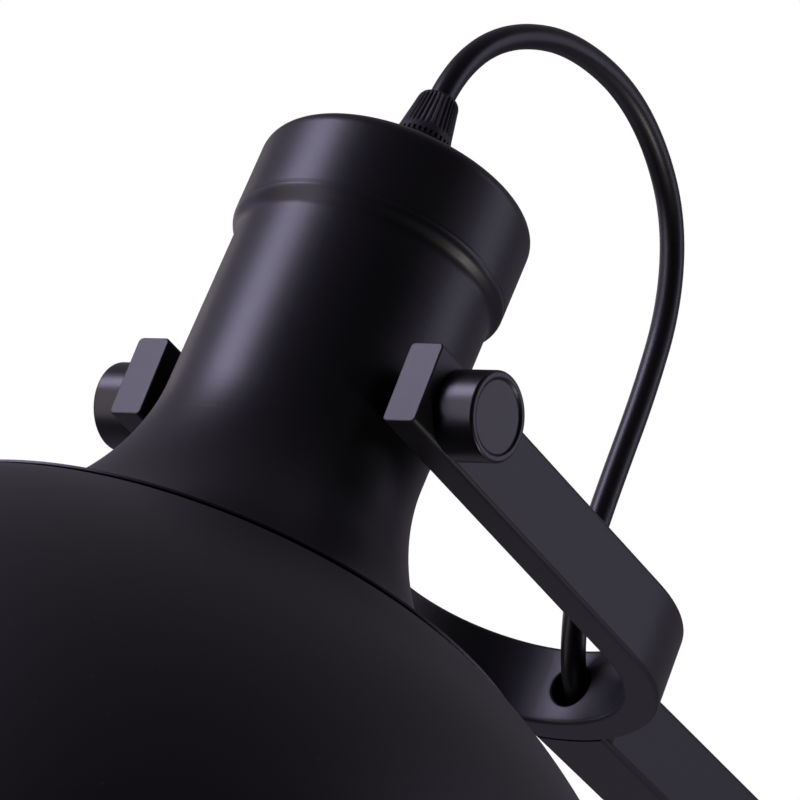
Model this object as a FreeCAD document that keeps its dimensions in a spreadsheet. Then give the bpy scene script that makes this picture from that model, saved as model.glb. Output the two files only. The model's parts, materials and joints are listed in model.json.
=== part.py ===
import FreeCAD, Part
import math
import os
from types import SimpleNamespace

import Sketcher

# Arc floor lamp with a tilting dome head.  Millimetres, +Z up, origin under the middle of the base.
# The pole rises from the base, bends forward towards -Y and ends in a welded yoke.
# The head hangs in the yoke on two clamp knobs, and a free loop of flex feeds it from above.

DIMENSIONS = {
    # square tube of the pole and arm
    "tube_side": 22.7,
    "tube_wall": 1.5,
    "tube_corner": 1.8,
    "arc_radius": 900.0,
    "arc_start_height": 700.0,
    "tip_slope": 32.0,
    "tip_length": 340.0,
    "joint_overlap": 50.0,
    "joint_straight": 70.0,
    "joiner_side": 19.3,
    # yoke, a flat bar bent into a U
    "yoke_slope": 33.7,
    "bar_width": 22.9,
    "bar_thickness": 10.0,
    "yoke_inner_radius": 38.2,
    "yoke_leg_length": 100.4,
    "yoke_leg_end": 15.7,
    "flex_hole_radius": 5.9,
    "flex_hole_offset": 1.6,
    "bar_edge_round": 1.4,
    # head, all heights along its own axis from the pivot
    "head_lean": 36.05,
    "cap_top": 68.6,
    "cap_radius": 36.9,
    "cap_round": 4.6,
    "step_top": 45.6,
    "step_bottom": 39.4,
    "neck_radius": 34.7,
    "flare_start": -7.9,
    "flare_radius": 87.2,
    "flare_end": -74.5,
    "flare_pull": 0.473,
    "sheet_wall": 1.2,
    "dome_radius": 165.0,
    "dome_centre": -214.5,
    "dome_mouth_radius": 88.6,
    "crown_height": -79.0,
    "hem_height": 3.0,
    "crown_hole_radius": 20.5,
    # cord grip on the cap, height of its shoulder above the cap and length of its nut
    "grip_height": 14.4,
    "grip_nut_length": 15.0,
    # pivot
    "knob_radius": 11.55,
    "knob_length": 11.6,
    "stud_radius": 2.95,
    "knob_gap": 0.2,
    # flex
    "flex_radius": 3.4,
    # base
    "cover_radius": 175.0,
    "cover_top": 28.0,
    "cover_foot": 1.5,
    "cover_round": 6.0,
    "mat_thickness": 4.5,
    "mat_radius": 167.0,
    "weight_radius": 170.0,
    "inlet_height": 12.0,
    "inlet_radius": 6.0,
    "flange_radius": 40.0,
    "flange_thickness": 5.0,
    "flange_screw_circle": 27.0,
    "screw_radius": 3.0,
}

doc = FreeCAD.newDocument("arc_floor_lamp")
sheet = doc.addObject("Spreadsheet::Sheet", "Sizes")


class Size:
    """A number together with the spreadsheet expression that gives it."""

    def __init__(self, value, text):
        self.value = value
        self.text = text

    def __add__(self, other):
        other = as_size(other)
        return Size(self.value + other.value, f"({self.text} + {other.text})")

    def __sub__(self, other):
        other = as_size(other)
        return Size(self.value - other.value, f"({self.text} - {other.text})")

    def __mul__(self, other):
        other = as_size(other)
        return Size(self.value * other.value, f"({self.text} * {other.text})")

    def __truediv__(self, other):
        other = as_size(other)
        return Size(self.value / other.value, f"({self.text} / {other.text})")

    def __neg__(self):
        return Size(-self.value, f"(0 - {self.text})")

    __radd__ = __add__

    def __rmul__(self, other):
        return self * other

    def __rsub__(self, other):
        return as_size(other) - self


def as_size(number):
    """Wrap a bare number so that it can stand in an expression."""
    if isinstance(number, Size):
        return number
    return Size(float(number), f"({float(number)})")


def root(size):
    return Size(math.sqrt(size.value), f"sqrt({size.text})")


def fill_sheet():
    """Write every driving dimension to a cell of its own and give it its alias."""
    sizes = {}
    for row, (alias, value) in enumerate(DIMENSIONS.items(), start=1):
        sheet.set(f"A{row}", alias.replace("_", " "))
        sheet.set(f"B{row}", str(value))
        sheet.setAlias(f"B{row}", alias)
        sizes[alias] = Size(value, f"Sizes.{alias}")
    doc.recompute()
    return SimpleNamespace(**sizes)


d = fill_sheet()
NODES = []


# ---------------------------------------------------------------- places
yoke_outer_radius = d.yoke_inner_radius + d.bar_thickness
web_reach = (d.yoke_leg_length + yoke_outer_radius).value
arc_angle = 90.0 - d.tip_slope.value
yoke_angle = 90.0 - d.yoke_slope.value


def arm_point(along):
    """Centre of the tip tube, measured along it from the end of the arc."""
    turn = math.radians(arc_angle)
    y = -d.arc_radius.value * (1.0 - math.cos(turn)) - along * math.sin(turn)
    z = d.arc_start_height.value + d.arc_radius.value * math.sin(turn) + along * math.cos(turn)
    return FreeCAD.Vector(0.0, y, z)


weld_point = arm_point(d.tip_length.value)
pivot = weld_point + FreeCAD.Vector(
    0.0,
    -web_reach * math.sin(math.radians(yoke_angle)),
    web_reach * math.cos(math.radians(yoke_angle)),
)
X_AXIS = FreeCAD.Vector(1, 0, 0)
Y_AXIS = FreeCAD.Vector(0, 1, 0)
Z_AXIS = FreeCAD.Vector(0, 0, 1)
HEAD_PLACE = FreeCAD.Placement(pivot, FreeCAD.Rotation(X_AXIS, -d.head_lean.value))
YOKE_PLACE = FreeCAD.Placement(pivot, FreeCAD.Rotation(X_AXIS, yoke_angle))
TIP_PLACE = FreeCAD.Placement(arm_point(0.0), FreeCAD.Rotation(X_AXIS, arc_angle))
joint_height = d.arc_start_height - d.joint_straight


def place(vector, rotation=None):
    return FreeCAD.Placement(FreeCAD.Vector(*vector), rotation or FreeCAD.Rotation())


# ---------------------------------------------------------------- helpers
def bind(feature, name, size):
    """Set a length and tie it to the sheet."""
    size = as_size(size)
    setattr(feature, name, size.value)
    feature.setExpression(name, size.text)


def node(feature, label, placement=None):
    """Name a finished sub-part and put it in its place."""
    feature.Label = label
    if placement is not None:
        feature.Placement = placement
    NODES.append(feature)
    return feature


def new_body(name):
    body = doc.addObject("PartDesign::Body", name)
    body.AllowCompound = True
    return body


def arc_between(start, end, radius):
    """Minor arc between two points: positive radius turns anticlockwise, negative clockwise."""
    chord = end - start
    half = chord.Length / 2.0
    rise = math.sqrt(max(radius * radius - half * half, 0.0))
    side = FreeCAD.Vector(-chord.y, chord.x, 0).normalize()
    centre = (start + end) * 0.5 + side * math.copysign(rise, radius)
    first, last = (start, end) if radius > 0 else (end, start)
    begin = math.atan2(first.y - centre.y, first.x - centre.x)
    finish = math.atan2(last.y - centre.y, last.x - centre.x)
    circle = Part.Circle(centre, Z_AXIS, abs(radius))
    return Part.ArcOfCircle(circle, begin, finish)


def draw_loop(sketch, corners):
    """Draw a closed loop.  A corner is (across, up) or (across, up, radius of the arc that follows)."""
    points = [FreeCAD.Vector(as_size(c[0]).value, as_size(c[1]).value, 0) for c in corners]
    first = sketch.GeometryCount
    ends = []
    for index, corner in enumerate(corners):
        start = points[index]
        end = points[(index + 1) % len(corners)]
        if len(corner) == 2:
            sketch.addGeometry(Part.LineSegment(start, end))
            ends.append((1, 2))
        else:
            radius = as_size(corner[2])
            sketch.addGeometry(arc_between(start, end, radius.value))
            ends.append((1, 2) if radius.value > 0 else (2, 1))
    for index, corner in enumerate(corners):
        geometry = first + index
        before = first + (index - 1) % len(corners)
        begin = ends[index][0]
        sketch.addConstraint(Sketcher.Constraint("Coincident", before, ends[index - 1][1], geometry, begin))
        for kind, size in (("DistanceX", corner[0]), ("DistanceY", corner[1])):
            size = as_size(size)
            name = f"{kind}_{geometry}"
            row = sketch.addConstraint(Sketcher.Constraint(kind, -1, 1, geometry, begin, size.value))
            sketch.renameConstraint(row, name)
            sketch.setExpression(f"Constraints.{name}", size.text)
        if len(corner) == 3:
            radius = as_size(corner[2])
            if radius.value < 0:
                radius = -radius
            name = f"Radius_{geometry}"
            row = sketch.addConstraint(Sketcher.Constraint("Radius", geometry, radius.value))
            sketch.renameConstraint(row, name)
            sketch.setExpression(f"Constraints.{name}", radius.text)


def draw_circle(sketch, across, up, radius):
    """Draw a circle whose centre and radius follow the sheet."""
    across, up, radius = as_size(across), as_size(up), as_size(radius)
    centre = FreeCAD.Vector(across.value, up.value, 0)
    geometry = sketch.addGeometry(Part.Circle(centre, Z_AXIS, radius.value))
    rows = (
        ("Across", Sketcher.Constraint("DistanceX", -1, 1, geometry, 3, across.value), across),
        ("Up", Sketcher.Constraint("DistanceY", -1, 1, geometry, 3, up.value), up),
        ("Radius", Sketcher.Constraint("Radius", geometry, radius.value), radius),
    )
    for kind, constraint, size in rows:
        name = f"{kind}_{geometry}"
        row = sketch.addConstraint(constraint)
        sketch.renameConstraint(row, name)
        sketch.setExpression(f"Constraints.{name}", size.text)


def new_sketch(body, role, name, loops=(), circles=(), lift=None):
    """Sketch on one of the body's own origin planes, lifted off it where asked."""
    sketch = body.newObject("Sketcher::SketchObject", name)
    plane = [item for item in body.Origin.OriginFeatures if item.Role == role][0]
    sketch.AttachmentSupport = [(plane, "")]
    sketch.MapMode = "FlatFace"
    if lift is not None:
        sketch.AttachmentOffset = place((0, 0, lift.value))
        sketch.setExpression("AttachmentOffset.Base.z", lift.text)
    for corners in loops:
        draw_loop(sketch, corners)
    for circle in circles:
        draw_circle(sketch, *circle)
    return sketch


def lathe(name, corners, placement=None, label=True):
    """Turned piece: the half outline (radius, height) is revolved about the body's Z axis."""
    body = new_body(name)
    sketch = new_sketch(body, "XZ_Plane", f"{name}_outline", [corners])
    turned = body.newObject("PartDesign::Revolution", f"{name}_turned")
    turned.Profile = sketch
    turned.ReferenceAxis = (sketch, ["V_Axis"])
    turned.Angle = 360.0
    sketch.Visibility = False
    if label:
        node(body, name, placement)
    return body


def pad(body, name, sketch, length, midplane=False, reverse=False):
    feature = body.newObject("PartDesign::Pad", name)
    feature.Profile = sketch
    bind(feature, "Length", length)
    feature.SideType = "Symmetric" if midplane else "One side"
    feature.Reversed = reverse
    return feature


def pocket(body, name, sketch, length, midplane=False, reverse=False):
    """Cut a pocket and make sure that it removed material."""
    doc.recompute()
    before = body.Shape.Volume
    feature = body.newObject("PartDesign::Pocket", name)
    feature.Profile = sketch
    bind(feature, "Length", length)
    feature.SideType = "Symmetric" if midplane else "One side"
    feature.Reversed = reverse
    doc.recompute()
    if not body.Shape.Volume < before - 0.01:
        raise RuntimeError(f"{name} cut nothing")
    return feature


def rectangle(left, low, right, high):
    return [(left, low), (right, low), (right, high), (left, high)]


def rounded_square(side, corner):
    """Square loop about the origin with rounded corners."""
    half = side / 2.0
    flat = half - corner
    return [
        (-flat, -half), (flat, -half, corner),
        (half, -flat), (half, flat, corner),
        (flat, half), (-flat, half, corner),
        (-half, flat), (-half, -flat, corner),
    ]


def tube_section(body, name, side, wall, corner):
    """Sketch of a square tube's section across the body's Z axis."""
    inner_corner = corner - wall + 0.3
    loops = [rounded_square(side, corner), rounded_square(side - wall * 2.0, inner_corner)]
    return new_sketch(body, "XY_Plane", name, loops)


def rod(name, radius, length, placement):
    """Part cylinder used as a drill or a plain pin."""
    cylinder = doc.addObject("Part::Cylinder", name)
    bind(cylinder, "Radius", radius)
    bind(cylinder, "Height", length)
    cylinder.Placement = placement
    return cylinder


def cut(label, base, tool):
    """Part::Cut of two features, named as a sub-part."""
    result = doc.addObject("Part::Cut", f"{label}_cut")
    result.Base = base
    result.Tool = tool
    return node(result, label)


def group(name, members):
    compound = doc.addObject("Part::Compound", name)
    compound.Links = members
    return compound


def fillet_edges(body, name, radius, wanted):
    """Round every edge of the body's tip that the test picks."""
    doc.recompute()
    base = body.Tip
    edges = [f"Edge{i + 1}" for i, edge in enumerate(base.Shape.Edges) if wanted(edge)]
    feature = body.newObject("PartDesign::Fillet", name)
    feature.Base = (base, edges)
    bind(feature, "Radius", radius)
    return feature


def turned_to(axis, angle, vector=(0, 0, 0)):
    return place(vector, FreeCAD.Rotation(axis, angle))


# ---------------------------------------------------------------- base
def make_base_mat():
    return lathe("base_mat", rectangle(0, 0, d.mat_radius, d.mat_thickness))


def make_base_weight():
    """Cast-iron disc with a wiring channel and four counterbored screw holes underneath."""
    low = d.mat_thickness
    high = d.cover_top - d.sheet_wall
    edge = 2.0
    bore = 13.0
    corners = [
        (bore, low), (d.weight_radius - edge, low), (d.weight_radius, low + edge),
        (d.weight_radius, high - edge), (d.weight_radius - edge, high), (bore, high),
    ]
    body = lathe("base_weight", corners)
    channel = new_sketch(body, "XY_Plane", "wiring_channel_outline",
                         [rectangle(-6.5, 0, 6.5, d.weight_radius + 5.0)], lift=low)
    pocket(body, "wiring_channel", channel, d.inlet_height + 6.0 - low, reverse=True)
    chamber = new_sketch(body, "XY_Plane", "terminal_chamber_outline",
                         [rectangle(-20, 42, 20, 84)], lift=low)
    pocket(body, "terminal_chamber", chamber, 14.5, reverse=True)
    reach = d.flange_screw_circle * math.sqrt(0.5)
    spots = [(reach * sx, reach * sy) for sx in (-1, 1) for sy in (-1, 1)]
    holes = new_sketch(body, "XY_Plane", "screw_hole_outline",
                       circles=[(x, y, d.screw_radius + 0.3) for x, y in spots])
    pocket(body, "screw_holes", holes, d.cover_top + 5.0, reverse=True)
    bores = new_sketch(body, "XY_Plane", "counterbore_outline",
                       circles=[(x, y, d.screw_radius + 3.5) for x, y in spots], lift=low)
    pocket(body, "counterbores", bores, 9.0, reverse=True)
    return body


def make_base_cover():
    """Spun steel cover over the weight, with a hole for the lead in its skirt."""
    outer, top, wall, turn = d.cover_radius, d.cover_top, d.sheet_wall, d.cover_round
    bore = 13.0
    corners = [
        (outer, d.cover_foot), (outer, top - turn, turn), (outer - turn, top), (bore, top),
        (bore, top - wall), (outer - turn, top - wall, -(turn - wall)),
        (outer - wall, top - turn), (outer - wall, d.cover_foot),
    ]
    body = lathe("base_cover", corners)
    reach = d.flange_screw_circle * math.sqrt(0.5)
    holes = new_sketch(body, "XY_Plane", "cover_screw_outline",
                       circles=[(reach * sx, reach * sy, d.screw_radius + 0.3)
                                for sx in (-1, 1) for sy in (-1, 1)])
    pocket(body, "cover_screw_holes", holes, top + 5.0, reverse=True)
    inlet = new_sketch(body, "XZ_Plane", "inlet_outline",
                       circles=[(0, d.inlet_height, d.inlet_radius)])
    pocket(body, "inlet_hole", inlet, outer + 5.0)
    return body


def make_base_inlet():
    """Rubber grommet in the skirt where the mains lead comes in."""
    wall_in = d.cover_radius - d.sheet_wall - 0.3
    wall_out = d.cover_radius + 0.05
    bore = 3.5
    groove = d.inlet_radius - 0.05
    corners = [
        (bore, wall_in - 1.6), (d.inlet_radius + 1.4, wall_in - 1.6), (d.inlet_radius + 1.8, wall_in),
        (groove, wall_in), (groove, wall_out), (d.inlet_radius + 1.8, wall_out),
        (d.inlet_radius + 1.2, wall_out + 1.8), (bore + 0.6, wall_out + 2.4), (bore, wall_out + 2.0),
    ]
    spot = turned_to(X_AXIS, -90, (0, 0, d.inlet_height.value))
    return lathe("base_inlet", corners, spot)


def make_terminal_block():
    """Three-way connector under the base, with a brass sleeve in each way."""
    low, high = 46.0, 74.0
    body = new_body("terminal_block")
    outline = new_sketch(body, "XZ_Plane", "terminal_outline",
                         [rectangle(-14.5, 5.6, 14.5, 17.6)],
                         circles=[(x, d.inlet_height, 2.4) for x in (-9, 0, 9)],
                         lift=as_size(-high))
    pad(body, "terminal_pad", outline, high - low)
    node(body, "terminal_block")
    sleeves = new_body("terminal_sleeves")
    rings = new_sketch(sleeves, "XZ_Plane", "sleeve_outline",
                       circles=[(x, d.inlet_height, r) for x in (-9, 0, 9) for r in (2.4, 1.5)],
                       lift=as_size(-high + 2.0))
    pad(sleeves, "sleeve_pad", rings, high - low - 4.0)
    return node(sleeves, "terminal_sleeves")


def make_pole_flange():
    """Round steel plate that the pole stands on, with a raised square collar around the pole."""
    low = d.cover_top
    high = low + d.flange_thickness
    bore = 8.0
    corners = [
        (bore, low), (d.flange_radius, low), (d.flange_radius, high - 1.5),
        (d.flange_radius - 1.5, high), (bore, high),
    ]
    body = lathe("pole_flange", corners)
    reach = d.flange_screw_circle * math.sqrt(0.5)
    holes = new_sketch(body, "XY_Plane", "flange_thread_outline",
                       circles=[(reach * sx, reach * sy, d.screw_radius)
                                for sx in (-1, 1) for sy in (-1, 1)])
    pocket(body, "flange_threads", holes, high - 1.0, reverse=True)
    return body


def make_pole_collar():
    """Square cast collar that hides the weld at the foot of the pole."""
    body = new_body("pole_collar")
    collar_side = d.tube_side + 10.0
    section = new_sketch(body, "XY_Plane", "collar_section",
                         [rounded_square(collar_side, as_size(4.0)),
                          rounded_square(d.tube_side + 0.2, d.tube_corner)])
    pad(body, "collar_pad", section, 12.0)
    half = d.tube_side.value / 2.0

    def on_top_rim(edge):
        centre = edge.CenterOfMass
        return edge.BoundBox.ZMin > 11.9 and max(abs(centre.x), abs(centre.y)) > half + 2.0

    fillet_edges(body, "collar_round", as_size(1.5), on_top_rim)
    return node(body, "pole_collar", place((0, 0, (d.cover_top + d.flange_thickness).value)))


def make_flange_screws():
    """Four socket screws up through the weight into the flange."""
    seat = d.mat_thickness + 9.0
    tip = d.cover_top + d.flange_thickness - 1.2
    corners = [
        (0, seat - 3.4), (2.5, seat - 3.4), (2.5, seat - 6.0), (4.6, seat - 6.0), (5.0, seat - 5.6),
        (5.0, seat), (d.screw_radius, seat), (d.screw_radius, tip - 1.0),
        (d.screw_radius - 0.8, tip), (0, tip),
    ]
    screws = []
    reach = d.flange_screw_circle.value * math.sqrt(0.5)
    for index, (sx, sy) in enumerate([(-1, -1), (1, -1), (1, 1), (-1, 1)]):
        screw = lathe(f"flange_screw_{index}", corners, label=False)
        screw.Placement = place((reach * sx, reach * sy, 0))
        screws.append(screw)
    return node(group("flange_screw_set", screws), "flange_screws")


# ---------------------------------------------------------------- pole and arm
SCREW_SPOTS = (-25.0, 25.0)


def joint_drills(name, spots, base_place, radius):
    """Cross holes through the back wall of a tube joint, at distances from the joint."""
    drills = []
    for index, spot in enumerate(spots):
        local = turned_to(X_AXIS, -90, (0, 5.0, spot))
        drills.append(rod(f"{name}_drill_{index}", radius, 10.0, base_place.multiply(local)))
    return group(f"{name}_drills", drills)


def make_pole():
    foot = d.cover_top + d.flange_thickness
    body = new_body("pole_blank")
    section = tube_section(body, "pole_section", d.tube_side, d.tube_wall, d.tube_corner)
    pad(body, "pole_pad", section, joint_height - foot)
    body.Placement = place((0, 0, foot.value))
    drills = joint_drills("pole", SCREW_SPOTS[:1], place((0, 0, joint_height.value)), 2.6)
    return cut("pole", body, drills)


def make_arc_tube():
    """Bent length of the tube: a short straight, the arc, and another short straight."""
    body = new_body("arc_blank")
    section = tube_section(body, "arc_section", d.tube_side, d.tube_wall, d.tube_corner)
    spine = body.newObject("Sketcher::SketchObject", "arc_spine")
    plane = [item for item in body.Origin.OriginFeatures if item.Role == "YZ_Plane"][0]
    spine.AttachmentSupport = [(plane, "")]
    spine.MapMode = "FlatFace"
    straight, radius = d.joint_straight.value, d.arc_radius.value
    turn = math.radians(arc_angle)
    bend = FreeCAD.Vector(0, straight, 0)
    rise = FreeCAD.Vector(-radius * (1 - math.cos(turn)), straight + radius * math.sin(turn), 0)
    end = rise + FreeCAD.Vector(-math.sin(turn), math.cos(turn), 0) * straight
    spine.addGeometry(Part.LineSegment(FreeCAD.Vector(0, 0, 0), bend))
    centre = FreeCAD.Vector(-radius, straight, 0)
    spine.addGeometry(Part.ArcOfCircle(Part.Circle(centre, Z_AXIS, radius), 0.0, turn))
    spine.addGeometry(Part.LineSegment(rise, end))
    spine.addConstraint(Sketcher.Constraint("Coincident", 0, 1, -1, 1))
    spine.addConstraint(Sketcher.Constraint("Vertical", 0))
    spine.addConstraint(Sketcher.Constraint("Tangent", 0, 2, 1, 1))
    spine.addConstraint(Sketcher.Constraint("Tangent", 1, 2, 2, 1))
    bound = (
        ("start_length", Sketcher.Constraint("Distance", 0, straight), "Sizes.joint_straight"),
        ("end_length", Sketcher.Constraint("Distance", 2, straight), "Sizes.joint_straight"),
        ("bend_radius", Sketcher.Constraint("Radius", 1, radius), "Sizes.arc_radius"),
        ("tip_angle", Sketcher.Constraint("Angle", -1, 1, 2, 1, math.pi - math.radians(d.tip_slope.value)),
         "180 deg - Sizes.tip_slope * 1 deg"),
    )
    for name, constraint, text in bound:
        row = spine.addConstraint(constraint)
        spine.renameConstraint(row, name)
        spine.setExpression(f"Constraints.{name}", text)
    pipe = body.newObject("PartDesign::AdditivePipe", "arc_pipe")
    pipe.Profile = section
    pipe.Spine = (spine, ["Edge1", "Edge2", "Edge3"])
    body.Placement = place((0, 0, joint_height.value))
    low = joint_drills("arc_low", SCREW_SPOTS[1:], place((0, 0, joint_height.value)), 2.6)
    high_place = TIP_PLACE.multiply(place((0, 0, d.joint_straight.value)))
    high = joint_drills("arc_high", SCREW_SPOTS[:1], high_place, 2.6)
    return cut("arc_tube", body, group("arc_drills", [low, high]))


def make_tip_tube():
    """Straight end of the arm, coped to the round back of the yoke."""
    body = new_body("tip_blank")
    section = tube_section(body, "tip_section", d.tube_side, d.tube_wall, d.tube_corner)
    pad(body, "tip_pad", section, d.tip_length - d.joint_straight + 4.0)
    body.Placement = TIP_PLACE.multiply(place((0, 0, d.joint_straight.value)))
    cope = rod("tip_cope", yoke_outer_radius, 60.0,
               YOKE_PLACE.multiply(turned_to(X_AXIS, -90, (0, -30, -d.yoke_leg_length.value))))
    joint_place = TIP_PLACE.multiply(place((0, 0, d.joint_straight.value)))
    drills = joint_drills("tip", SCREW_SPOTS[1:], joint_place, 2.6)
    return cut("tip_tube", body, group("tip_tools", [cope, drills]))


def make_joiner(name, joint_place):
    """Inner sleeve that two lengths of tube slide over, with its two button-head screws."""
    body = new_body(f"{name}_blank")
    section = tube_section(body, f"{name}_section", d.joiner_side, d.tube_wall, d.tube_corner - 0.5)
    pad(body, f"{name}_pad", section, d.joint_overlap * 2.0, midplane=True)
    body.Placement = joint_place
    cut(name, body, joint_drills(name, SCREW_SPOTS, joint_place, 2.5))
    outer = d.tube_side / 2.0
    corners = [
        (0, outer - 5.2), (2.0, outer - 5.2), (2.5, outer - 4.7), (2.5, outer), (4.5, outer),
        (4.5, outer + 0.6, 3.2), (2.4, outer + 2.3), (1.5, outer + 2.3), (1.5, outer + 0.8), (0, outer + 0.8),
    ]
    screws = []
    for index, spot in enumerate(SCREW_SPOTS):
        screw = lathe(f"{name}_screw_{index}", corners, label=False)
        screw.Placement = joint_place.multiply(turned_to(X_AXIS, -90, (0, 0, spot)))
        screws.append(screw)
    return node(group(f"{name}_screw_set", screws), f"{name}_screws")


def make_yoke():
    """Flat bar bent into a U, with a pivot hole in each leg and a flex hole through the web."""
    body = new_body("yoke")
    inner, outer = d.yoke_inner_radius, yoke_outer_radius
    end, start = d.yoke_leg_end, -d.yoke_leg_length
    corners = [
        (-outer, end), (-outer, start, outer), (0, start - outer, outer), (outer, start), (outer, end),
        (inner, end), (inner, start, -inner), (0, start - inner, -inner), (-inner, start), (-inner, end),
    ]
    outline = new_sketch(body, "XZ_Plane", "yoke_outline", [corners])
    pad(body, "yoke_pad", outline, d.bar_width, midplane=True)
    half = d.bar_width.value / 2.0
    fillet_edges(body, "yoke_long_rounds", d.bar_edge_round,
                 lambda edge: edge.BoundBox.YLength < 0.01 and abs(abs(edge.CenterOfMass.y) - half) < 0.01
                 and edge.BoundBox.ZLength > 15.0)
    pivots = new_sketch(body, "YZ_Plane", "pivot_hole_outline", circles=[(0, 0, d.stud_radius + 0.35)])
    pocket(body, "pivot_holes", pivots, outer * 2.0 + 4.0, midplane=True)
    passage = new_sketch(body, "XY_Plane", "flex_hole_outline",
                         circles=[(d.flex_hole_offset, 0, d.flex_hole_radius)],
                         lift=start - outer - 3.0)
    pocket(body, "flex_hole", passage, d.bar_thickness + 20.0, reverse=True)
    return node(body, "yoke", YOKE_PLACE)


def make_yoke_welds():
    """Two small fillet welds in the angle between the tube's sides and the back of the yoke."""
    beads = []
    start = d.yoke_leg_length.value
    outer = yoke_outer_radius.value
    side = d.tube_side.value / 2.0
    leg = 3.4
    length = d.bar_width.value - 3.0
    for sign in (-1, 1):
        touch = math.sqrt(outer * outer - side * side)
        far = side + leg
        reach = math.sqrt(outer * outer - far * far)
        face = [
            FreeCAD.Vector(sign * side, 0, -start - touch),
            FreeCAD.Vector(sign * side, 0, -start - touch - leg - 1.0),
            FreeCAD.Vector(sign * far, 0, -start - reach),
        ]
        rim = Part.Wire([
            Part.LineSegment(face[0], face[1]).toShape(),
            Part.Arc(face[1],
                     FreeCAD.Vector(sign * (side + 1.2), 0, -start - touch - 1.4), face[2]).toShape(),
            Part.Arc(face[2],
                     FreeCAD.Vector(sign * (side + leg / 2), 0,
                                    -start - math.sqrt(outer ** 2 - (side + leg / 2) ** 2)),
                     face[0]).toShape(),
        ])
        bead = Part.Face(rim).extrude(FreeCAD.Vector(0, length, 0))
        bead.translate(FreeCAD.Vector(0, -length / 2, 0))
        beads.append(bead)
    feature = doc.addObject("Part::Feature", "yoke_weld_beads")
    feature.Shape = Part.makeCompound(beads)
    return node(feature, "yoke_welds", YOKE_PLACE)


# ---------------------------------------------------------------- head
def housing_edges(inset):
    """Edges of the neck housing's half outline, set in by the given amount, from top to rim."""
    top = d.cap_top.value - inset
    cap = d.cap_radius.value - inset
    turn = d.cap_round.value - inset
    neck = d.neck_radius.value - inset
    step_top, step_low = d.step_top.value, d.step_bottom.value
    start, end = d.flare_start.value, d.flare_end.value - inset
    rim = d.flare_radius.value
    pull = d.flare_pull.value

    def at(radius, height):
        return FreeCAD.Vector(radius, 0, height)

    def curve(*poles):
        bezier = Part.BezierCurve()
        bezier.setPoles(list(poles))
        return bezier.toShape()

    lean = math.sqrt(0.5)
    middle = (step_top + step_low) / 2.0
    return [
        Part.LineSegment(at(5.2, top), at(cap - turn, top)).toShape(),
        Part.Arc(at(cap - turn, top), at(cap - turn + turn * lean, top - turn + turn * lean),
                 at(cap, top - turn)).toShape(),
        Part.LineSegment(at(cap, top - turn), at(cap, step_top)).toShape(),
        curve(at(cap, step_top), at(cap, middle), at(neck, middle), at(neck, step_low)),
        Part.LineSegment(at(neck, step_low), at(neck, start)).toShape(),
        curve(at(neck, start), at(neck, start + (end - start) * pull),
              at(rim - (rim - neck) * pull, end), at(rim, end)),
    ]


def make_neck_housing():
    """One spun shell: cap, shoulder step, straight neck and the flare that meets the dome."""
    outside = housing_edges(0.0)
    inside = housing_edges(d.sheet_wall.value)
    top_edge = Part.LineSegment(outside[0].Vertexes[0].Point, inside[0].Vertexes[0].Point).toShape()
    rim_edge = Part.LineSegment(outside[-1].Vertexes[-1].Point, inside[-1].Vertexes[-1].Point).toShape()
    wire = Part.Wire(Part.__sortEdges__(outside + [rim_edge] + inside + [top_edge]))
    shell = Part.Face(wire).revolve(FreeCAD.Vector(0, 0, 0), Z_AXIS, 360)
    blank = doc.addObject("Part::Feature", "neck_housing_blank")
    blank.Shape = shell
    blank.Placement = HEAD_PLACE
    across = HEAD_PLACE.multiply(turned_to(Y_AXIS, 90, (-60, 0, 0)))
    return cut("neck_housing", blank, rod("pivot_bore", d.stud_radius + 0.35, 120.0, across))


def make_dome_shade():
    """Half-sphere shade with a hemmed rim and a sunk flat crown that the housing stands in."""
    outer, wall, centre = d.dome_radius, d.sheet_wall, d.dome_centre
    mouth, crown, hem = d.dome_mouth_radius, d.crown_height, d.hem_height
    mouth_height = centre + root(outer * outer - mouth * mouth)
    inner = outer - wall
    step = mouth + wall * 0.7
    step_height = centre + root(inner * inner - step * step)
    hole = d.crown_hole_radius
    corners = [
        (outer, centre, outer), (mouth, mouth_height), (mouth - 0.5, mouth_height - 0.4),
        (mouth - 0.5, crown), (hole, crown), (hole, crown - wall), (step, crown - wall),
        (step, step_height, -inner), (inner, centre), (outer - hem, centre), (outer - hem, centre - hem),
        (outer - 0.8, centre - hem), (outer, centre - hem + 0.8),
    ]
    return lathe("dome_shade", corners, HEAD_PLACE)


def make_seam_gasket():
    crown, rim = d.crown_height, d.flare_end - d.sheet_wall
    corners = rectangle(d.flare_radius - 8.0, crown, d.flare_radius - 0.6, rim - 0.05)
    return lathe("seam_gasket", corners, HEAD_PLACE)


def make_head_frame():
    """Steel U bracket inside the neck: a round seat for the lampholder and two arms for the studs."""
    body = new_body("head_frame")
    seat_radius, arm_outer, arm_wall = 32.0, 31.5, 2.0
    seat = new_sketch(body, "XY_Plane", "seat_outline",
                      circles=[(0, 0, seat_radius), (0, 0, d.crown_hole_radius)], lift=d.crown_height)
    pad(body, "seat_pad", seat, arm_wall)
    arms = new_sketch(body, "XY_Plane", "arm_outline",
                      [rectangle(arm_outer - arm_wall, -10, arm_outer, 10),
                       rectangle(-arm_outer, -10, arm_wall - arm_outer, 10)], lift=d.crown_height)
    pad(body, "arm_pad", arms, 12.0 - d.crown_height)
    holes = new_sketch(body, "YZ_Plane", "frame_hole_outline", circles=[(0, 0, d.stud_radius + 0.2)])
    pocket(body, "frame_holes", holes, 80.0, midplane=True)
    return node(body, "head_frame", HEAD_PLACE)


def hexagon(flats):
    """Six corners of a nut, one pair of flats facing up."""
    reach = flats / math.sqrt(3.0)
    return [(reach * math.cos(math.radians(60 * i)), reach * math.sin(math.radians(60 * i)))
            for i in range(6)]


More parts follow.
